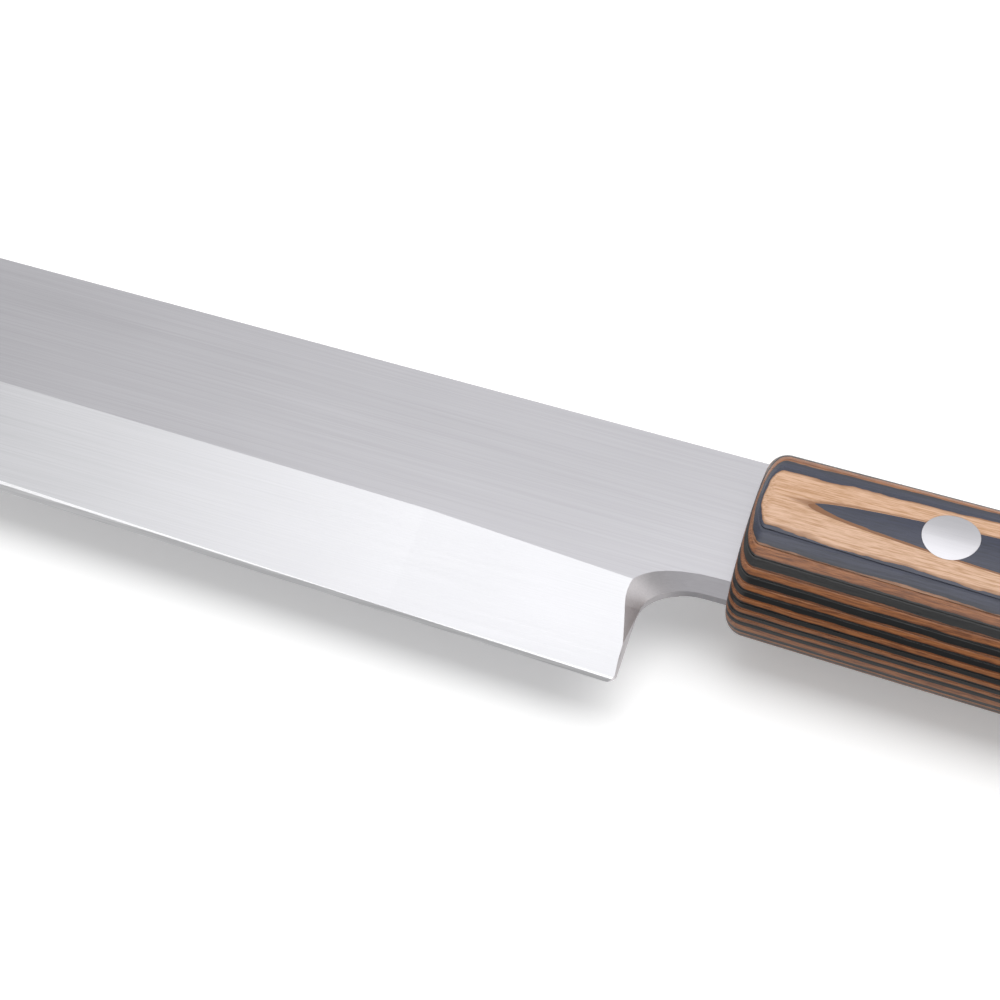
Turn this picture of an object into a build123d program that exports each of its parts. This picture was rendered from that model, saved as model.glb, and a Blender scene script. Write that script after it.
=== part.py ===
from build123d import *
from math import atan2, cos, degrees, radians, sin, tan
import os

# A yanagiba slicing knife, lying on its flat side with the bevelled face up.
# X runs from the tip (-X) to the butt (+X), +Y is the spine side, +Z is up.
# The origin is the middle of the knife's footprint, on the surface it lies on.

# Blade sizes, mm and degrees
blade_length = 240.0        # tip to heel corner, along the knife
heel_height = 31.4          # spine to edge at the heel
blade_thickness = 3.7
edge_taper_angle = 1.85     # the edge closes on the straight spine towards the tip
tip_sweep_length = 65.0     # last stretch, where the edge curves up to the tip
spine_break = 0.15          # small chamfer along the spine

# Wide bevel: its width is measured from the edge to the bevel's upper line
bevel_width_sweep = 11.4    # where the tip sweep starts, and round the sweep
bevel_width_middle = 11.55
bevel_width_wide = 12.0     # widest a little in front of the heel
bevel_width_heel = 11.05
bevel_middle_station = 76.0     # distance in front of the heel corner
bevel_wide_station = 26.0

# Narrow sharpened bevel along the very edge, finer towards the heel: a steep facet
# and a softer one above it. An overhang is how far a plane would run past the edge.
steep_facet_angle = 35.0
soft_facet_angle = 21.0
wide_bevel_overhang = 0.95
wide_bevel_overhang_heel = 0.47
soft_facet_overhang = 0.51
soft_facet_overhang_heel = 0.3

# Heel and neck
heel_to_handle = 7.8        # heel corner to the handle's front
heel_corner_radius = 1.0
neck_height = 17.1          # spine to the neck's underside, on the bevelled side

# The wall under the neck and behind the heel is ground in two facets, which meet
# at a crest. Each line of it: neck drop is how much lower it runs than the neck
# height, setback how far it would stand in front of the heel corner, lean how much
# it leans towards the tip on its way up, reach and fall the size of its curve.
crest_height = 1.5          # from the flat side
flat_neck_drop = 0.4
flat_lean_angle = 3.6
flat_reach = 5.9
flat_fall = 5.2
crest_neck_drop = 0.82
crest_setback = 0.75
crest_lean_angle = -3.1
crest_reach = 5.9
crest_fall = 4.4
bevelled_setback = 2.7
bevelled_reach = 10.0
bevelled_fall = 6.6
round_share = 0.5523        # a curve's handle length: a quarter ellipse
full_share = 0.68           # fuller, nearer the corner

# Flat side: shallow hollow inside a flat rim, and a relief under the neck
hollow_width = 18.0
hollow_grind_radius = 150.0
hollow_heel_margin = 9.0    # from the heel corner to the hollow's end
hollow_tip_margin = 46.0    # from the tip to the hollow's end
neck_relief = 0.12
neck_relief_length = 5.0    # in front of the handle

# Tang
tang_butt_margin = 20.0     # from the tang's end to the butt
tang_end_height = 12.7
tang_corner_radius = 3.0
slot_clearance = 0.1        # under and behind the tang

# Handle
handle_length = 120.0
handle_thickness = 15.02    # at the butt, where it is thickest
handle_swell = 0.433        # each side is this much thinner at the front
handle_front_depth = 21.1   # spine to belly at the front
handle_butt_depth = 24.8
crown_depth = 8.2           # spine to the line where each side face is highest
crown_fall = 2.04           # how far the side face falls away from there to the spine
spine_corner_radius = 3.4
front_lean_angle = 2.5      # the handle's front leans back towards the belly
front_advance = 0.42        # and at the spine it starts this far in front
front_round = 2.3
butt_round = 1.5

# Stations along the handle, how much of the belly's extra depth each one has, and
# how much of the front's lean
station_shares = (0, 0.25, 0.5, 0.75, 1)
belly_depth_shares = (0, 0.2, 0.35, 0.54, 1)
lean_shares = (1, 0, 0, 0, 0)

# Wood plies, stacked parallel to the blade
dark_ply_thickness = 0.499
tan_ply_thickness = 0.47
feather_thickness = 0.1     # a ply's thin edge breaks off square where it gets this thin
island_belly_spare = 0.3     # the outermost dark plies reach this much further down
island_butt_margin = 2.0    # from their ends to the butt

# Two-part rivets
front_rivet_station = 21.1  # from the handle's front
front_rivet_depth = 7.7     # from the spine
rear_rivet_butt_margin = 32.0
rear_rivet_depth = 8.4
rivet_head_radius = 3.1
rivet_seat = 4.6            # from the knife's mid-plane to the underside of a head
rivet_tube_radius = 2.1
rivet_pin_radius = 1.3
rivet_clearance = 0.02      # radial, round heads, tube and pin
rivet_end_gap = 0.5         # beyond the tube's end and the pin's end

overrun = 12.0              # how far cutting shapes run past what they cut

os.makedirs("parts", exist_ok=True)

# Places that follow from the sizes
overall_length = blade_length + heel_to_handle + handle_length
tip_x = -overall_length / 2
heel_x = tip_x + blade_length
handle_front_x = heel_x + heel_to_handle
handle_middle_x = handle_front_x + handle_length / 2
spine_y = heel_height / 2
heel_y = spine_y - heel_height
neck_y = spine_y - neck_height
middle_z = handle_thickness / 2
face_z = middle_z + blade_thickness / 2
back_z = middle_z - blade_thickness / 2
front_lean = radians(front_lean_angle)
mouth_x = handle_front_x - front_advance + neck_height * tan(front_lean)
tang_back_z = back_z + neck_relief
tang_thickness = blade_thickness - neck_relief

# Edge coordinates: a distance from the heel corner along the straight edge
# towards the tip, and a distance inward from the edge.
taper = radians(edge_taper_angle)


def from_edge(along, inward):
    return (
        heel_x - along * cos(taper) + inward * sin(taper),
        heel_y + along * sin(taper) + inward * cos(taper),
    )


tip_along = blade_length * cos(taper) + heel_height * sin(taper)
tip_inward = heel_height * cos(taper) - blade_length * sin(taper)
sweep_start = tip_along - tip_sweep_length
sweep_radius = (tip_sweep_length**2 + tip_inward**2) / (2 * tip_inward)
sweep_centre = from_edge(sweep_start, sweep_radius)
tip_angle = degrees(atan2(tip_sweep_length, sweep_radius - tip_inward))
sweep_angle = degrees(atan2(tip_sweep_length + overrun, sweep_radius - tip_inward))
sweep_first_angle = -90 - edge_taper_angle
outer_corner = from_edge(tip_along + 2 * overrun, -overrun)


def sweep_end(inward):
    # point on the concentric tip sweep, past the tip
    angle = radians(sweep_first_angle - sweep_angle)
    reach = sweep_radius - inward
    return (sweep_centre[0] + reach * cos(angle), sweep_centre[1] + reach * sin(angle))


# Blank: the whole blade at full thickness, with the neck to the handle's front
with BuildPart() as blank:
    with BuildSketch(Plane.XY.offset(back_z)):
        with BuildLine():
            CenterArc(sweep_centre, sweep_radius, sweep_first_angle, -tip_angle)
            Polyline(
                from_edge(sweep_start, 0),
                (heel_x, heel_y),
                (mouth_x, heel_y),
                (mouth_x, spine_y),
                (tip_x, spine_y),
            )
        make_face()
    extrude(amount=blade_thickness)
    spine_edges = blank.edges().filter_by(Axis.X).group_by(Axis.Y)[-1]
    chamfer(spine_edges, length=spine_break)


# Region under one line of the neck, which runs into the heel in one curve
def below_neck(height, drop, setback, lean_angle, reach, fall, share):
    lean = tan(radians(lean_angle))
    line_y = neck_y - drop
    end_y = line_y - fall
    end_x = heel_x - setback - (end_y - heel_y) * lean
    far_x = mouth_x + overrun
    with BuildSketch(Plane.XY.offset(height)) as section:
        with BuildLine():
            Line((far_x, line_y), (end_x + reach, line_y))
            Bezier(
                (end_x + reach, line_y),
                (end_x + reach * (1 - share), line_y),
                (end_x - fall * share * lean, end_y + fall * share),
                (end_x, end_y),
            )
            Polyline(
                (end_x, end_y),
                (heel_x - setback + overrun * lean, heel_y - overrun),
                (far_x, heel_y - overrun),
                (far_x, line_y),
            )
        make_face()
    return section.sketch


with BuildPart() as neck_tool:
    flat_line = below_neck(
        back_z, flat_neck_drop, 0, flat_lean_angle, flat_reach, flat_fall, round_share
    )
    crest_line = below_neck(
        back_z + crest_height,
        crest_neck_drop,
        crest_setback,
        crest_lean_angle,
        crest_reach,
        crest_fall,
        round_share,
    )
    bevelled_line = below_neck(
        face_z, 0, bevelled_setback, 0, bevelled_reach, bevelled_fall, full_share
    )
    loft(sections=[flat_line, crest_line, bevelled_line], ruled=True)


# Region beyond a line that follows the edge: widths are inward distances at the
# heel, the widest place, the middle and round the tip sweep.
def beyond_edge(height, heel, wide, middle, sweep):
    first = from_edge(-overrun, heel - (wide - heel) * overrun / bevel_wide_station)
    with BuildSketch(Plane.XY.offset(height)) as section:
        with BuildLine():
            Spline(first, from_edge(0, heel), from_edge(bevel_wide_station, wide))
            Polyline(
                from_edge(bevel_wide_station, wide),
                from_edge(bevel_middle_station, middle),
                from_edge(sweep_start, sweep),
            )
            CenterArc(sweep_centre, sweep_radius - sweep, sweep_first_angle, -sweep_angle)
            Polyline(
                sweep_end(sweep),
                sweep_end(-overrun),
                outer_corner,
                from_edge(-overrun, -overrun),
                first,
            )
        make_face()
    return section.sketch


wide_share = bevel_wide_station / bevel_middle_station


def past_edge(heel_overhang, overhang):
    at_wide = heel_overhang * (1 - wide_share) + overhang * wide_share
    return beyond_edge(back_z, -heel_overhang, -at_wide, -overhang, -overhang)


with BuildPart() as wide_bevel_tool:
    low = past_edge(wide_bevel_overhang_heel, wide_bevel_overhang)
    high = beyond_edge(
        face_z, bevel_width_heel, bevel_width_wide, bevel_width_middle, bevel_width_sweep
    )
    loft(sections=[low, high], ruled=True)

with BuildPart() as soft_facet_tool:
    run = blade_thickness / tan(radians(soft_facet_angle))
    low = past_edge(soft_facet_overhang_heel, soft_facet_overhang)
    heel_run = run - soft_facet_overhang_heel
    far_run = run - soft_facet_overhang
    wide_run = heel_run * (1 - wide_share) + far_run * wide_share
    high = beyond_edge(face_z, heel_run, wide_run, far_run, far_run)
    loft(sections=[low, high], ruled=True)

with BuildPart() as steep_facet_tool:
    run = blade_thickness / tan(radians(steep_facet_angle))
    loft(sections=[beyond_edge(back_z, 0, 0, 0, 0), beyond_edge(face_z, run, run, run, run)], ruled=True)

# Hollow of the flat side: a long round-ended grind, parallel to the blade's middle line
hollow_depth = hollow_width**2 / (8 * hollow_grind_radius)
hollow_first_x = tip_x + hollow_tip_margin + hollow_width / 2
hollow_last_x = heel_x - hollow_heel_margin - hollow_width / 2
hollow_span = hollow_last_x - hollow_first_x
hollow_middle_x = (hollow_first_x + hollow_last_x) / 2
hollow_middle_y = heel_height / 2 - (heel_height - (heel_x - hollow_middle_x) * tan(taper)) / 2
hollow_plane = Plane(
    origin=(hollow_middle_x, hollow_middle_y, back_z - hollow_grind_radius + hollow_depth),
    x_dir=(cos(taper / 2), -sin(taper / 2), 0),
    z_dir=(0, 0, 1),
)

with BuildPart(hollow_plane) as hollow_tool:
    Cylinder(hollow_grind_radius, hollow_span, rotation=(0, 90, 0))
    with Locations((-hollow_span / 2, 0, 0), (hollow_span / 2, 0, 0)):
        Sphere(hollow_grind_radius)


def tang_profile(spare):
    # the tang seen from its flat side, or its slot when spare is its clearance
    end_x = handle_front_x + handle_length - tang_butt_margin + spare
    with BuildSketch(Plane.XY.offset(tang_back_z)) as profile:
        with BuildLine():
            Polyline(
                (mouth_x, spine_y),
                (mouth_x, neck_y - spare),
                (end_x, spine_y - tang_end_height - spare),
                (end_x, spine_y),
                close=True,
            )
        make_face()
        low_corner = profile.vertices().group_by(Axis.X)[-1].sort_by(Axis.Y)[0]
        fillet(low_corner, tang_corner_radius)
    return profile.sketch


rivet_places = [
    (handle_front_x + front_rivet_station, spine_y - front_rivet_depth),
    (handle_front_x + handle_length - rear_rivet_butt_margin, spine_y - rear_rivet_depth),
]

with BuildPart() as blade:
    add(blank.part)
    add(neck_tool.part, mode=Mode.SUBTRACT)
    edge_side = blade.faces().sort_by_distance((heel_x - overrun, heel_y, middle_z))[0]
    heel_corner = edge_side.edges().group_by(Axis.X)[-1]
    heel_corner += edge_side.edges().group_by(Axis.X)[-2]
    fillet(heel_corner, heel_corner_radius)
    add(wide_bevel_tool.part, mode=Mode.SUBTRACT)
    add(soft_facet_tool.part, mode=Mode.SUBTRACT)
    add(steep_facet_tool.part, mode=Mode.SUBTRACT)
    add(hollow_tool.part, mode=Mode.SUBTRACT)
    with BuildSketch(Plane.XY.offset(back_z)):
        with Locations((handle_front_x - neck_relief_length, 0)):
            Rectangle(
                neck_relief_length + overrun,
                2 * heel_height,
                align=(Align.MIN, Align.CENTER),
            )
    extrude(amount=neck_relief, mode=Mode.SUBTRACT)
    extrude(tang_profile(0), amount=tang_thickness)
    with BuildSketch(Plane.XY.offset(tang_back_z)):
        with Locations(*rivet_places):
            Circle(rivet_tube_radius + rivet_clearance)
    extrude(amount=tang_thickness, mode=Mode.SUBTRACT)
blade.part.label = "blade"
export_step(blade.part, "parts/blade.step")

# Handle shape: sections across the knife, flat at the spine, crowned on both
# sides and elliptical round the belly
with BuildPart() as handle_shape:
    for station_share, depth_share, lean_share in zip(
        station_shares, belly_depth_shares, lean_shares
    ):
        station_x = handle_front_x + station_share * handle_length - lean_share * front_advance
        lean = front_lean * lean_share
        belly_depth = handle_front_depth + depth_share * (handle_butt_depth - handle_front_depth)
        skin_height = handle_thickness / 2 - handle_swell * (1 - station_share) ** 2
        section_plane = Plane(
            origin=(station_x, spine_y, middle_z),
            x_dir=(-sin(lean), cos(lean), 0),
            z_dir=(cos(lean), sin(lean), 0),
        )
        with BuildSketch(section_plane):
            with BuildLine():
                TangentArc(
                    (-crown_depth, skin_height),
                    (0, skin_height - crown_fall),
                    tangent=(1, 0),
                )
                EllipticalCenterArc(
                    (-crown_depth, 0),
                    belly_depth - crown_depth,
                    skin_height,
                    start_angle=90,
                    arc_size=90,
                )
                mirror(about=Plane.XZ)
                Line((0, skin_height - crown_fall), (0, crown_fall - skin_height))
            section = make_face()
            fillet(section.vertices().group_by(Axis.X)[-1], spine_corner_radius)
    loft()
    fillet(handle_shape.faces().sort_by(Axis.X)[0].edges(), front_round)
    fillet(handle_shape.faces().sort_by(Axis.X)[-1].edges(), butt_round)

# Openings of the glued handle: the tang's slot and the stepped rivet holes
with BuildPart() as openings:
    with BuildSketch(Plane.XY.offset(tang_back_z)):
        add(tang_profile(slot_clearance))
        with Locations((mouth_x, spine_y)):
            Rectangle(overrun, neck_height + slot_clearance, align=(Align.MAX, Align.MAX))
    extrude(amount=tang_thickness)
    with BuildSketch(Plane.XY.offset(middle_z)):
        with Locations(*rivet_places):
            Circle(rivet_tube_radius + rivet_clearance)
    extrude(amount=handle_thickness, both=True)
    for side in (1, -1):
        with BuildSketch(Plane.XY.offset(middle_z + side * rivet_seat)):
            with Locations(*rivet_places):
                Circle(rivet_head_radius + rivet_clearance)
        extrude(amount=side * handle_thickness)

# Plies: the handle sliced parallel to the blade, with a tan ply on the mid-plane
# and dark and tan plies by turns out to both sides
glue_lines = [tan_ply_thickness / 2]
while glue_lines[-1] < handle_thickness / 2:
    next_thickness = dark_ply_thickness if len(glue_lines) % 2 == 1 else tan_ply_thickness
    glue_lines.append(glue_lines[-1] + next_thickness)
middle_index = len(glue_lines) - 1

# The outermost dark ply is left only where the skin rises over the last glue line, as
# a long island on the crown of each side, half an ellipse that widens to the butt.
# It is parted across the front rivet, so that each side has a front and a rear piece.
half_thickness = handle_thickness / 2
island_rise = half_thickness - glue_lines[-2] - feather_thickness
island_length = handle_length * (island_rise / handle_swell) ** 0.5 - island_butt_margin
island_end_x = handle_front_x + handle_length - island_butt_margin
crown_radius = (crown_depth**2 + crown_fall**2) / (2 * crown_fall)
spine_reach = (2 * crown_radius * island_rise) ** 0.5
belly_reach = (handle_front_depth - crown_depth) * (1 - (1 - island_rise / half_thickness) ** 2) ** 0.5
belly_reach += island_belly_spare
island_middle_y = spine_y - crown_depth - (belly_reach - spine_reach) / 2
with BuildPart() as islands:
    for side in (1, -1):
        with BuildSketch(Plane.XY.offset(middle_z + side * glue_lines[-2])):
            with Locations((island_end_x, island_middle_y)):
                Ellipse(island_length, (spine_reach + belly_reach) / 2)
                Rectangle(
                    handle_length,
                    heel_height,
                    align=(Align.MIN, Align.CENTER),
                    mode=Mode.SUBTRACT,
                )
            with Locations(rivet_places[0]):
                Rectangle(2 * feather_thickness, heel_height, mode=Mode.SUBTRACT)
        extrude(amount=side * handle_thickness)
ply_heights = [middle_z + line for line in reversed(glue_lines)]
ply_heights += [middle_z - line for line in glue_lines]
ply_spans = list(zip(ply_heights, ply_heights[1:]))
ply_spans[1] = (ply_heights[0], ply_heights[2])
ply_spans[-2] = (ply_heights[-3], ply_heights[-1])
ply_numbers = {"dark": 0, "tan": 0}

for index, (ply_top, ply_bottom) in enumerate(ply_spans):
    colour = "tan" if (index - middle_index) % 2 == 0 else "dark"
    ply_numbers[colour] += 1
    ply_name = f"{colour}_ply_{ply_numbers[colour]:02d}"
    plies_to_skin = min(index, len(ply_spans) - 1 - index)
    feathered = index != middle_index and plies_to_skin > 0
    above_middle = index < middle_index
    if feathered and above_middle:
        ply_bottom += feather_thickness
    elif feathered:
        ply_top -= feather_thickness
    with BuildPart() as ply:
        add(handle_shape.part)
        with BuildSketch(Plane.XY.offset(ply_bottom)):
            with Locations((handle_middle_x, 0)):
                Rectangle(2 * handle_length, 2 * heel_height)
        extrude(amount=ply_top - ply_bottom, mode=Mode.INTERSECT)
        if feathered:
            inner_face = ply.faces().sort_by(Axis.Z)[0 if above_middle else -1]
            extrude(inner_face, amount=feather_thickness)
        add(openings.part, mode=Mode.SUBTRACT)
        if plies_to_skin == 0:
            add(islands.part, mode=Mode.INTERSECT)
        elif plies_to_skin == 1:
            add(islands.part, mode=Mode.SUBTRACT)
    if plies_to_skin == 0:
        front_piece, rear_piece = ply.solids().sort_by(Axis.X)
        named_pieces = {f"{ply_name}_front": front_piece, f"{ply_name}_rear": rear_piece}
    else:
        named_pieces = {ply_name: ply.part}
    for piece_name, piece in named_pieces.items():
        piece.label = piece_name
        export_step(piece, f"parts/{piece_name}.step")

# Rivets: a socket with a tube from the bevelled side, and a stud with a pin from
# the flat side. The heads are ground flush with the wood.
tube_end_z = middle_z - rivet_seat + rivet_end_gap
pin_end_z = middle_z + rivet_seat - rivet_end_gap

for rivet_name, place in zip(("front_rivet", "rear_rivet"), rivet_places):
    with BuildPart() as socket:
        with BuildSketch(Plane.XY.offset(middle_z + rivet_seat)):
            with Locations(place):
                Circle(rivet_head_radius)
        extrude(amount=handle_thickness)
        add(handle_shape.part, mode=Mode.INTERSECT)
        with BuildSketch(Plane.XY.offset(tube_end_z)):
            with Locations(place):
                Circle(rivet_tube_radius)
        extrude(amount=middle_z + rivet_seat - tube_end_z)
        with BuildSketch(Plane.XY.offset(tube_end_z)):
            with Locations(place):
                Circle(rivet_pin_radius + rivet_clearance)
        extrude(amount=middle_z + rivet_seat - tube_end_z, mode=Mode.SUBTRACT)
    socket.part.label = f"{rivet_name}_socket"
    export_step(socket.part, f"parts/{rivet_name}_socket.step")

    with BuildPart() as stud:
        with BuildSketch(Plane.XY.offset(middle_z - rivet_seat)):
            with Locations(place):
                Circle(rivet_head_radius)
        extrude(amount=-handle_thickness)
        add(handle_shape.part, mode=Mode.INTERSECT)
        with BuildSketch(Plane.XY.offset(middle_z - rivet_seat)):
            with Locations(place):
                Circle(rivet_pin_radius)
        extrude(amount=pin_end_z - middle_z + rivet_seat)
    stud.part.label = f"{rivet_name}_stud"
    export_step(stud.part, f"parts/{rivet_name}_stud.step")
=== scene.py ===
import math
import bpy
from mathutils import Matrix, Vector

# A yanagiba slicing knife on a pale floor. The knife's solids all come from the packed
# frame, so this script gives them their finishes, and adds the floor, lamp and camera.
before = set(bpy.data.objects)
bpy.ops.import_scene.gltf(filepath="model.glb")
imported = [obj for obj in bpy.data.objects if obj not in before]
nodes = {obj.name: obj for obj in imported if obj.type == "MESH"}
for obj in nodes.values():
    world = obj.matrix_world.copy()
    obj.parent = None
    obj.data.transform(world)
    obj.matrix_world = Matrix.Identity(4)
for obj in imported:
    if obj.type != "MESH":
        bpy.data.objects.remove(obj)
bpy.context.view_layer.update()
scene = bpy.context.scene
mm = 0.001
white = (1, 1, 1, 1)
print("frame loaded:", len(nodes), "nodes")


def linearColour(hexCode):
    # sRGB hex to linear red, green, blue and an alpha of 1
    shares = [int(hexCode[i:i + 2], 16) / 255 for i in (1, 3, 5)]
    return [s / 12.92 if s <= 0.04045 else ((s + 0.055) / 1.055) ** 2.4 for s in shares] + [1.0]


def addNode(tree, kind, inputs=None, **settings):
    # one node with its settings; an input is a value, or a socket to link from
    made = tree.nodes.new(kind)
    for name, value in settings.items():
        setattr(made, name, value)
    for name, value in (inputs or {}).items():
        if isinstance(value, bpy.types.NodeSocket):
            tree.links.new(value, made.inputs[name])
        else:
            made.inputs[name].default_value = value
    return made


def spans(given, wanted):
    # the range of values that a Map Range node is given, and the range it makes of it
    return {"From Min": given[0], "From Max": given[1],
            "To Min": wanted[0], "To Max": wanted[1]}


def newMaterial(name):
    material = bpy.data.materials.new(name)
    material.use_nodes = True
    tree = material.node_tree
    tree.nodes.clear()
    return material, tree


# Camera: it looks down at the heel and the handle's front from the edge side
cameraView = {
    "lens": 120.0,                    # mm
    "sensorWidth": 36.0,              # mm
    "nearest": 0.01,                  # m, nothing nearer than this is drawn
    "elevation": 50.0,                # degrees above the knife
    "turn": 19.8,                     # degrees round towards the butt
    "aim": (63.9, 15.5, 9.36),        # mm, the handle's front corner at the spine
    "depth": 361.0,                   # mm from the camera to the aim, along the view
    "aimPixel": (775.0, 466.3),       # where the aim lies in the picture
    "pictureSize": 1000,              # pixels, the picture is square
}


def lineOfSight(view):
    turn, rise = math.radians(view["turn"]), math.radians(view["elevation"])
    return Vector((-math.sin(turn) * math.cos(rise), math.cos(turn) * math.cos(rise),
                   -math.sin(rise)))


def makeCamera(view):
    turn = math.radians(view["turn"])
    forward = lineOfSight(view)
    right = Vector((math.cos(turn), math.sin(turn), 0))
    up = right.cross(forward)
    data = bpy.data.cameras.new("camera")
    data.sensor_width = view["sensorWidth"]
    data.lens = view["lens"]
    data.clip_start = view["nearest"]
    mmPerPixel = view["depth"] * data.sensor_width / data.lens / view["pictureSize"]
    across, down = [(pixel - view["pictureSize"] / 2) * mmPerPixel for pixel in view["aimPixel"]]
    place = Vector(view["aim"]) - forward * view["depth"] - right * across + up * down
    camera = bpy.data.objects.new("camera", data)
    scene.collection.objects.link(camera)
    turned = Matrix((right, up, -forward)).transposed().to_4x4()
    camera.matrix_world = Matrix.Translation(place * mm) @ turned
    scene.camera = camera


makeCamera(cameraView)
print("camera placed")


# Patterns are noise drawn out along the knife, given as length and width in mm, then detail
noiseRoughness = 0.55
usualNoise = (0.3, 0.7)       # noise keeps round 0.5, and is mostly within this range


def stretchedNoise(tree, point, pattern):
    length, width, detail = pattern
    scaled = addNode(tree, "ShaderNodeMapping", {
        "Vector": point, "Scale": (1 / (length * mm), 1 / (width * mm), 1 / (width * mm))})
    return addNode(tree, "ShaderNodeTexNoise", {
        "Vector": scaled.outputs["Vector"], "Scale": 1.0, "Detail": detail,
        "Roughness": noiseRoughness}).outputs["Fac"]


# Blade: stainless steel, ground flat, then drawn along a belt. The finish gives the
# eye a soft grey with fine lengthwise lines. Each ground face has a painted brightness:
# the reflection of what it looks towards, painted into its colour.
steelFinishAndReflections = {
    # the face colours are painted reflections: each face as bright as what it looks towards
    "upperFace": "#ABAAAE",
    "wideBevel": "#BEBEC1",
    "softFacet": "#F6F6F8",
    "steepFacet": "#F6F6F8",
    "wall": "#A3A1A5",
    # the butt-facing walls' colour is a painted reflection of the floor and the handle
    "endWall": "#D6D2D4",                # walls that face the butt, such as the heel's
    "lastWall": 0.75,                    # a face is a wall if it looks up or down by less
    "lines": (26.0, 0.16, 3.0),          # belt lines, coarser than real ones so that they show
    "lineContrast": 0.10,
    "lineDepth": 0.0012,                 # mm
    "clouds": (35.0, 35.0 / 3, 2.0),     # slow changes along the blade
    "cloudContrast": 0.05,
    "roughness": 0.34,
    "roughnessSpread": 0.10,
}
# How far a face looks up or down tells the ground faces apart, and gives each its painted
# reflection: 0 is upright, 1 is level. Each face starts at its number.
steelReflectionStops = (("wall", 0.0), ("steepFacet", 0.75), ("softFacet", 0.92),
              ("wideBevel", 0.946), ("upperFace", 0.985))

# what both ground metals share
groundMetal = {
    "lineNoise": (0.25, 0.75),      # the range of the noise that the lines make use of
    "brighterShare": 1 / 3,         # lines brighten by this share of how far they darken
    "facingButt": (0.2, 0.75),      # how far a wall faces the butt, from not at all to in full
}


def groundSteel(name, finish, stops):
    material, tree = newMaterial(name)
    place = addNode(tree, "ShaderNodeTexCoord").outputs
    facing = addNode(tree, "ShaderNodeSeparateXYZ", {"Vector": place["Normal"]}).outputs
    upward = addNode(tree, "ShaderNodeMath", {
        0: facing["Z"]}, operation="ABSOLUTE").outputs["Value"]
    # each face's colour by which way it looks: painted reflection on the blade, painted shade on
    # the rivet's walls
    ramp = addNode(tree, "ShaderNodeValToRGB", {"Fac": upward})
    ramp.color_ramp.interpolation = "CONSTANT"
    while len(ramp.color_ramp.elements) < len(stops):
        ramp.color_ramp.elements.new(0.5)
    for element, (part, position) in zip(ramp.color_ramp.elements, stops):
        element.position = position
        element.color = linearColour(finish[part])
    # walls that face the butt take a painted reflection of the floor and the handle
    toButt = addNode(tree, "ShaderNodeMapRange", {
        "Value": facing["X"], **spans(groundMetal["facingButt"], (0.0, 1.0))},
        interpolation_type="SMOOTHSTEP").outputs["Result"]
    isWall = addNode(tree, "ShaderNodeMath", {
        0: upward, 1: finish["lastWall"]}, operation="LESS_THAN").outputs["Value"]
    endReflectionShare = addNode(tree, "ShaderNodeMath", {
        0: toButt, 1: isWall}, operation="MULTIPLY").outputs["Value"]
    ground = addNode(tree, "ShaderNodeMix", {
        "Factor": endReflectionShare, "A": ramp.outputs["Color"], "B": linearColour(finish["endWall"])},
        data_type="RGBA").outputs["Result"]

    lines = stretchedNoise(tree, place["Object"], finish["lines"])
    clouds = stretchedNoise(tree, place["Object"], finish["clouds"])
    lineShade = addNode(tree, "ShaderNodeMapRange", {
        "Value": lines, **spans(groundMetal["lineNoise"], (
            1 - finish["lineContrast"],
            1 + finish["lineContrast"] * groundMetal["brighterShare"]))}).outputs["Result"]
    cloudShade = addNode(tree, "ShaderNodeMapRange", {
        "Value": clouds, **spans(usualNoise, (
            1 - finish["cloudContrast"], 1.0))}).outputs["Result"]
    shade = addNode(tree, "ShaderNodeMath", {
        0: lineShade, 1: cloudShade}, operation="MULTIPLY").outputs["Value"]
    colour = addNode(tree, "ShaderNodeVectorMath", {
        0: ground, "Scale": shade}, operation="SCALE").outputs["Vector"]
    dullness = addNode(tree, "ShaderNodeMapRange", {
        "Value": lines, **spans(groundMetal["lineNoise"], (
            finish["roughness"] - finish["roughnessSpread"] / 2,
            finish["roughness"] + finish["roughnessSpread"] / 2))}).outputs["Result"]
    bump = addNode(tree, "ShaderNodeBump", {
        "Height": lines, "Distance": finish["lineDepth"] * mm, "Strength": 1.0})
    shader = addNode(tree, "ShaderNodeBsdfPrincipled", {
        "Base Color": colour, "Metallic": 1.0, "Roughness": dullness,
        "Normal": bump.outputs["Normal"]})
    addNode(tree, "ShaderNodeOutputMaterial", {"Surface": shader.outputs["BSDF"]})
    return material


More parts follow.
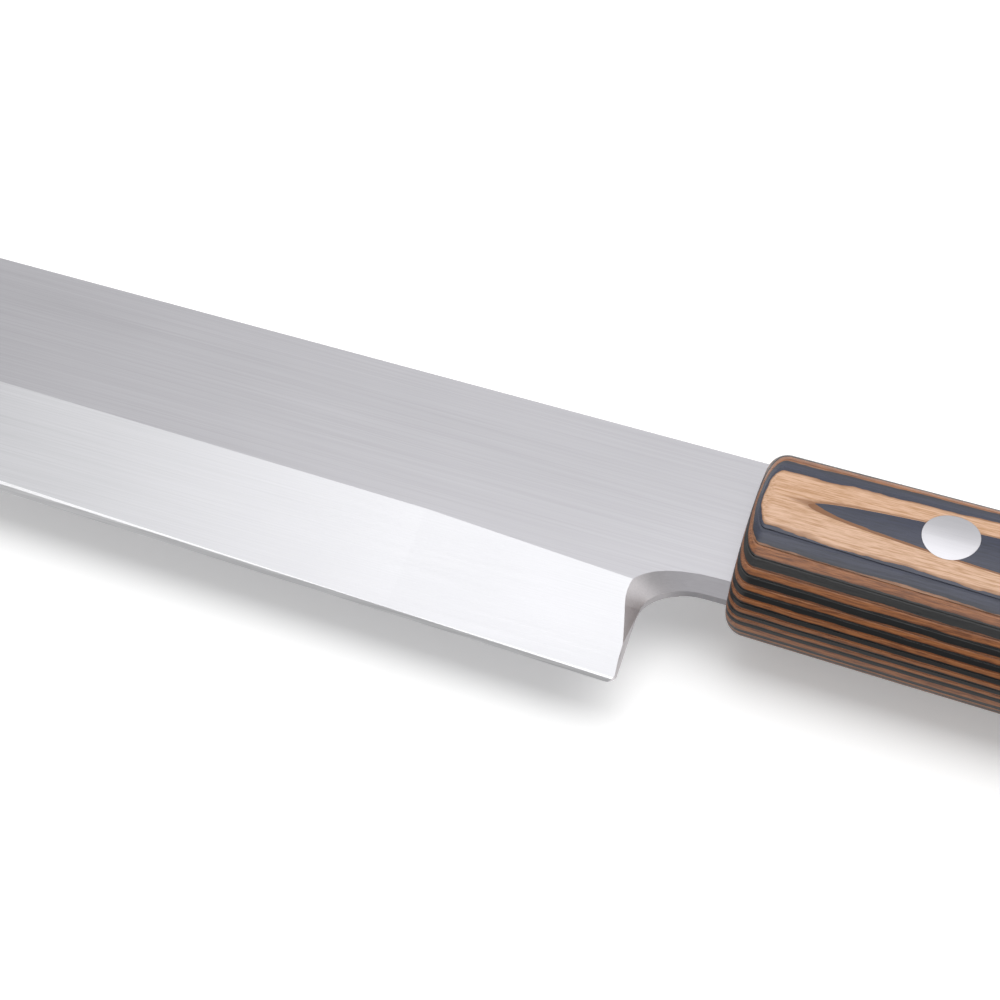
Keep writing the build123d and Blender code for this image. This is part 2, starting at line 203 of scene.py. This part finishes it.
# Handle: beech veneers, dyed dark and left tan by turns, soaked in resin and pressed,
# then ground and buffed. Cut across, at the belly, the resin makes a veneer deep and
# saturated. Cut along its face it is paler, and over the top its colour also holds painted
# sheen: a painted reflection of the overhead lamp, slate on the dark plies, grey on the tan.
laminate = {
    "middleHeight": 7.51,           # mm, the middle tan ply's centre over the floor
    "tanPly": 0.47,                 # mm
    "darkPly": 0.499,               # mm
    "lastTan": 6.9,                 # mm from the middle, inside the outermost tan ply
    "faceCutAndSheenFrom": (6.0, 6.45),     # mm from the middle: a veneer shows its edge under the first, its face, lit by a painted sheen, over the second
                                    # first, its face over the second
    "wander": 0.10,                 # mm, how far a glue line strays
    "wanderPattern": (5.0, 2.5, 3.0),
    "fringe": 0.09,                 # mm, brown resin line beside a dark ply
    "fringeStrength": 0.85,
    "islandLine": 7.118,            # mm from the middle, the outline of the dark islands
    "islandFringe": 0.022,          # mm
    "islandWander": 0.006,          # mm
    "islandNoise": (0.35, 0.65),    # the range of the noise that wears the outline
    "grain": (7.0, 0.22, 4.0),      # a little coarser than beech, so that it shows
    "pores": (1.6, 0.12, 2.0),
    "streaks": (0.17, 0.36),        # grain times pores, from no streak to a full one
    "streakDepth": 0.004,           # mm
    "roughness": (0.27, 0.39),      # from the smoothest to the dullest grain
    "lacquerIor": 1.5,
    "squareEdge": 0.1,              # mm, a ply's edge starts this far over its glue line
    "squareEdgeFacing": 0.97,       # a square edge faces sideways by more than this
    "lastSteepSide": 3.5,           # mm from the middle; further out only square edges do
    "squareEdgeTilt": 2.5,          # how far its shading is turned up, against 1 sideways
}
# face colours: a veneer cut along its face, with a painted reflection of the overhead lamp in
# it; edge colours: its own
veneers = {
    "tan": {"face": "#E1B89A", "faceStreak": "#BE9068",
            "edge": "#A0663C", "edgeStreak": "#6C3F24"},
    "dark": {"face": "#31354A", "faceStreak": "#262A3A",
             "edge": "#0B0B0D", "edgeStreak": "#050506"},
    "resin": {"face": "#85552C", "edge": "#552C13"},
}


def gluedPlies(tree, reach, stray):
    # from the distance to the middle: whether a ply is a tan one, and its share of resin
    firstLine = laminate["tanPly"] / 2 + laminate["squareEdge"]
    strayed = addNode(tree, "ShaderNodeMapRange", {
        "Value": stray, **spans(usualNoise, (
            firstLine * mm, (firstLine + laminate["wander"]) * mm))}).outputs["Result"]
    moved = addNode(tree, "ShaderNodeMath", {
        0: reach, 1: strayed}, operation="SUBTRACT").outputs["Value"]
    # distance into a pair of plies: the dark one first, then the tan one
    pitch = laminate["tanPly"] + laminate["darkPly"]
    into = addNode(tree, "ShaderNodeMath", {
        0: moved, 1: pitch * mm}, operation="FLOORED_MODULO").outputs["Value"]
    isTan = addNode(tree, "ShaderNodeMath", {
        0: into, 1: laminate["darkPly"] * mm}, operation="GREATER_THAN").outputs["Value"]
    pastDark = addNode(tree, "ShaderNodeMath", {
        0: into, 1: laminate["darkPly"] * mm}, operation="SUBTRACT").outputs["Value"]
    toDark = addNode(tree, "ShaderNodeMath", {
        0: pitch * mm, 1: into}, operation="SUBTRACT").outputs["Value"]
    nearest = addNode(tree, "ShaderNodeMath", {
        0: pastDark, 1: toDark}, operation="MINIMUM").outputs["Value"]
    fringe = addNode(tree, "ShaderNodeMapRange", {
        "Value": nearest, **spans((0.0, laminate["fringe"] * mm), (
            laminate["fringeStrength"], 0.0))}).outputs["Result"]
    return isTan, fringe


def islandOutline(tree, fromMiddle):
    # the share of resin along the outline of the dark islands
    toIsland = addNode(tree, "ShaderNodeMath", {
        0: laminate["islandLine"] * mm, 1: fromMiddle}, operation="SUBTRACT").outputs["Value"]
    gap = addNode(tree, "ShaderNodeMath", {0: toIsland}, operation="ABSOLUTE").outputs["Value"]
    return addNode(tree, "ShaderNodeMapRange", {
        "Value": gap, **spans((0.0, laminate["islandFringe"] * mm), (
            laminate["fringeStrength"], 0.0))}).outputs["Result"]


def veneerColours(tree, fromMiddle, streakShare):
    # each wood's colour and the resin's, by how the veneer is cut, with painted sheen
    # on its face, and how it is streaked
    cutFrom, cutTo = laminate["faceCutAndSheenFrom"]
    faceCutAndSheen = addNode(tree, "ShaderNodeMapRange", {
        "Value": fromMiddle, **spans((cutFrom * mm, cutTo * mm), (0.0, 1.0))},
        interpolation_type="SMOOTHSTEP").outputs["Result"]
    colours = {}
    for wood in ("dark", "tan"):
        shades = {}
        for cut in ("face", "edge"):
            shades[cut] = addNode(tree, "ShaderNodeMix", {
                "Factor": streakShare, "A": linearColour(veneers[wood][cut]),
                "B": linearColour(veneers[wood][cut + "Streak"])},
                data_type="RGBA").outputs["Result"]
        colours[wood] = addNode(tree, "ShaderNodeMix", {
            "Factor": faceCutAndSheen, "A": shades["edge"], "B": shades["face"]},
            data_type="RGBA").outputs["Result"]
    colours["resin"] = addNode(tree, "ShaderNodeMix", {
        "Factor": faceCutAndSheen, "A": linearColour(veneers["resin"]["edge"]),
        "B": linearColour(veneers["resin"]["face"])}, data_type="RGBA").outputs["Result"]
    return colours


def smoothedNormal(tree, normal, offset, fromMiddle):
    # the square edges of the thin plies are a tenth of a millimetre high: they are shaded
    # as part of the face, or the eye would see a line where the real handle is smooth
    facing = addNode(tree, "ShaderNodeSeparateXYZ", {"Vector": normal}).outputs
    sideways = addNode(tree, "ShaderNodeMath", {
        0: facing["Y"]}, operation="ABSOLUTE").outputs["Value"]
    isSideways = addNode(tree, "ShaderNodeMath", {
        0: sideways, 1: laminate["squareEdgeFacing"]}, operation="GREATER_THAN").outputs["Value"]
    isHigh = addNode(tree, "ShaderNodeMath", {
        0: fromMiddle, 1: laminate["lastSteepSide"] * mm},
        operation="GREATER_THAN").outputs["Value"]
    isSquareEdge = addNode(tree, "ShaderNodeMath", {
        0: isSideways, 1: isHigh}, operation="MULTIPLY").outputs["Value"]
    outward = addNode(tree, "ShaderNodeMath", {0: offset}, operation="SIGN").outputs["Value"]
    tilt = addNode(tree, "ShaderNodeMath", {
        0: isSquareEdge, 1: outward}, operation="MULTIPLY").outputs["Value"]
    tiltUp = addNode(tree, "ShaderNodeCombineXYZ", {"Z": tilt}).outputs["Vector"]
    raised = addNode(tree, "ShaderNodeVectorMath", {
        0: tiltUp, 1: tuple(3 * [laminate["squareEdgeTilt"]]), 2: normal},
        operation="MULTIPLY_ADD").outputs["Vector"]
    return addNode(tree, "ShaderNodeVectorMath", {
        0: raised}, operation="NORMALIZE").outputs["Vector"]


def pressedVeneer(name, own):
    # own is tan or dark for a ply with neighbours, island for an outermost dark one
    material, tree = newMaterial(name)
    place = addNode(tree, "ShaderNodeTexCoord").outputs
    point = place["Object"]
    height = addNode(tree, "ShaderNodeSeparateXYZ", {"Vector": point}).outputs["Z"]
    offset = addNode(tree, "ShaderNodeMath", {
        0: height, 1: laminate["middleHeight"] * mm}, operation="SUBTRACT").outputs["Value"]
    fromMiddle = addNode(tree, "ShaderNodeMath", {
        0: offset}, operation="ABSOLUTE").outputs["Value"]
    stray = stretchedNoise(tree, point, laminate["wanderPattern"])
    grain = stretchedNoise(tree, point, laminate["grain"])
    pores = stretchedNoise(tree, point, laminate["pores"])
    streak = addNode(tree, "ShaderNodeMath", {
        0: grain, 1: pores}, operation="MULTIPLY").outputs["Value"]
    streakShare = addNode(tree, "ShaderNodeMapRange", {
        "Value": streak, **spans(laminate["streaks"], (0.0, 1.0))}).outputs["Result"]
    colours = veneerColours(tree, fromMiddle, streakShare)

    if own == "island":
        # the island's thin rim is worn through here and there, so its outline is uneven
        outline = laminate["islandLine"] * mm
        wornOutline = (laminate["islandLine"] + laminate["islandWander"]) * mm
        rim = addNode(tree, "ShaderNodeMapRange", {
            "Value": stray, **spans(laminate["islandNoise"], (
                outline, wornOutline))}).outputs["Result"]
        isDark = addNode(tree, "ShaderNodeMath", {
            0: fromMiddle, 1: rim}, operation="GREATER_THAN").outputs["Value"]
        colour = addNode(tree, "ShaderNodeMix", {
            "Factor": isDark, "A": colours["resin"], "B": colours["dark"]},
            data_type="RGBA").outputs["Result"]
    else:
        reach = fromMiddle
        if own == "tan":
            # the outermost tan ply runs out over the last glue line, round the dark islands
            reach = addNode(tree, "ShaderNodeMath", {
                0: reach, 1: laminate["lastTan"] * mm}, operation="MINIMUM").outputs["Value"]
        isTan, fringe = gluedPlies(tree, reach, stray)
        resinShare = addNode(tree, "ShaderNodeMath", {
            0: fringe, 1: islandOutline(tree, fromMiddle)}, operation="MAXIMUM").outputs["Value"]
        tanSide = addNode(tree, "ShaderNodeMix", {
            "Factor": resinShare, "A": colours["tan"], "B": colours["resin"]},
            data_type="RGBA").outputs["Result"]
        colour = addNode(tree, "ShaderNodeMix", {
            "Factor": isTan, "A": colours["dark"], "B": tanSide},
            data_type="RGBA").outputs["Result"]

    dullness = addNode(tree, "ShaderNodeMapRange", {
        "Value": grain, **spans(usualNoise, laminate["roughness"])}).outputs["Result"]
    bump = addNode(tree, "ShaderNodeBump", {
        "Height": streakShare, "Distance": laminate["streakDepth"] * mm, "Strength": 1.0,
        "Normal": smoothedNormal(tree, place["Normal"], offset, fromMiddle)})
    shader = addNode(tree, "ShaderNodeBsdfPrincipled", {
        "Base Color": colour, "Roughness": dullness, "IOR": laminate["lacquerIor"],
        "Normal": bump.outputs["Normal"]})
    addNode(tree, "ShaderNodeOutputMaterial", {"Surface": shader.outputs["BSDF"]})
    return material


# Rivets: nickel silver, turned and then ground flush with the wood along the handle.
# That gives the eye a near-white satin disc with a fine straight grain.
rivetFinishAndShade = {
    "upperFace": "#B6B5B9",
    # the walls are painted darker than the upper face: painted shade
    "wall": "#9D9DA0",
    "endWall": "#9D9DA0",
    "lastWall": 0.6,
    "lines": (5.0, 0.12, 3.0),
    "lineContrast": 0.06,
    "lineDepth": 0.001,       # mm
    "clouds": (6.0, 6.0 / 3, 2.0),
    "cloudContrast": 0.03,
    "roughness": 0.36,
    "roughnessSpread": 0.06,
}
rivetShadeStops = (("wall", 0.0), ("upperFace", 0.6))

bladeSteel = groundSteel("belt_ground_stainless_steel", steelFinishAndReflections, steelReflectionStops)
rivetMetal = groundSteel("ground_nickel_silver", rivetFinishAndShade, rivetShadeStops)
tanVeneer = pressedVeneer("pressed_tan_beech_veneer", "tan")
darkVeneer = pressedVeneer("pressed_dark_beech_veneer", "dark")
darkIsland = pressedVeneer("ground_dark_beech_veneer", "island")

for name, piece in nodes.items():
    if name == "blade":
        finish = bladeSteel
    elif "rivet" in name:
        finish = rivetMetal
    elif name.startswith("tan"):
        finish = tanVeneer
    elif name.endswith(("_front", "_rear")):
        finish = darkIsland
    else:
        finish = darkVeneer
    if not piece.data.materials:
        piece.data.materials.append(finish)
    for slot in piece.material_slots:
        slot.material = finish
print("finishes given")

# Floor: matt white board, with the knife's shadow
floorFinish = {
    "size": 3.0,              # m
    "colour": "#F4F4F4",
    "roughness": 0.9,
    "specular": 0.2,
    "cameraLift": 0.30,       # light added to what the camera and the steel see of it
}


def makeFloor():
    half = floorFinish["size"] / 2
    mesh = bpy.data.meshes.new("floor")
    mesh.from_pydata([(-half, -half, 0), (half, -half, 0), (half, half, 0), (-half, half, 0)],
                     [], [(0, 1, 2, 3)])
    floor = bpy.data.objects.new("floor", mesh)
    scene.collection.objects.link(floor)
    material, tree = newMaterial("matt_white_board")
    board = addNode(tree, "ShaderNodeBsdfPrincipled", {
        "Base Color": linearColour(floorFinish["colour"]), "Roughness": floorFinish["roughness"],
        "Specular IOR Level": floorFinish["specular"]})
    ray = addNode(tree, "ShaderNodeLightPath").outputs
    seen = addNode(tree, "ShaderNodeMath", {
        0: ray["Is Camera Ray"], 1: ray["Is Glossy Ray"]}, operation="MAXIMUM").outputs["Value"]
    lift = addNode(tree, "ShaderNodeMath", {
        0: seen, 1: floorFinish["cameraLift"]}, operation="MULTIPLY").outputs["Value"]
    glow = addNode(tree, "ShaderNodeEmission", {"Color": white, "Strength": lift})
    both = addNode(tree, "ShaderNodeAddShader", {
        0: board.outputs["BSDF"], 1: glow.outputs["Emission"]})
    addNode(tree, "ShaderNodeOutputMaterial", {"Surface": both.outputs["Shader"]})
    mesh.materials.append(material)


makeFloor()

# Light: a white room with a dark end behind the camera, and one large soft lamp overhead,
# towards the butt. One edge of the lamp shades the steel from the heel to the tip side,
# and another leaves the belly's dark plies black.
worldLight = {
    "skyLight": 0.7,              # how strongly the room lights the things in it
    "seen": 1.0,                  # how strongly the camera and the steel see it
    "darkEndSeen": 0.3,           # the share of both that is left at the dark end
    "darkEnd": (50.0, 35.0),      # degrees from the camera's side: it starts, it is full
}
overheadLamp = {
    "place": (0.38, 0.20, 0.70),  # m
    "aim": (0.38, 0.20, 0.0),     # m
    "length": 1.2,                # m
    "width": 0.64,                # m
    "power": 4.35,                # W
}


def makeRoom():
    world = bpy.data.worlds.new("white_room")
    world.use_nodes = True
    scene.world = world
    tree = world.node_tree
    tree.nodes.clear()
    ray = addNode(tree, "ShaderNodeLightPath").outputs
    seen = addNode(tree, "ShaderNodeMath", {
        0: ray["Is Camera Ray"], 1: ray["Is Glossy Ray"]}, operation="MAXIMUM").outputs["Value"]
    clear = addNode(tree, "ShaderNodeMath", {
        0: seen, 1: ray["Is Transmission Ray"]}, operation="MAXIMUM").outputs["Value"]
    strength = addNode(tree, "ShaderNodeMapRange", {
        "Value": clear, **spans((0.0, 1.0), (
            worldLight["skyLight"], worldLight["seen"]))}).outputs["Result"]
    place = addNode(tree, "ShaderNodeTexCoord").outputs
    towards = addNode(tree, "ShaderNodeVectorMath", {
        0: place["Generated"], 1: -lineOfSight(cameraView)},
        operation="DOT_PRODUCT").outputs["Value"]
    darkEnd = [math.cos(math.radians(angle)) for angle in worldLight["darkEnd"]]
    darkening = addNode(tree, "ShaderNodeMapRange", {
        "Value": towards, **spans(darkEnd, (1.0, worldLight["darkEndSeen"]))},
        interpolation_type="SMOOTHSTEP").outputs["Result"]
    dimmed = addNode(tree, "ShaderNodeMath", {
        0: strength, 1: darkening}, operation="MULTIPLY").outputs["Value"]
    sky = addNode(tree, "ShaderNodeBackground", {"Color": white, "Strength": dimmed})
    addNode(tree, "ShaderNodeOutputWorld", {"Surface": sky.outputs["Background"]})


def makeLamp(name, lamp):
    data = bpy.data.lights.new(name, "AREA")
    data.shape = "RECTANGLE"
    data.size = lamp["length"]
    data.size_y = lamp["width"]
    data.energy = lamp["power"]
    light = bpy.data.objects.new(name, data)
    light.location = lamp["place"]
    toAim = Vector(lamp["aim"]) - Vector(lamp["place"])
    light.rotation_euler = toAim.to_track_quat("-Z", "Y").to_euler()
    scene.collection.objects.link(light)


makeRoom()
makeLamp("overhead", overheadLamp)
scene.view_settings.view_transform = "Standard"
print("floor and light made")
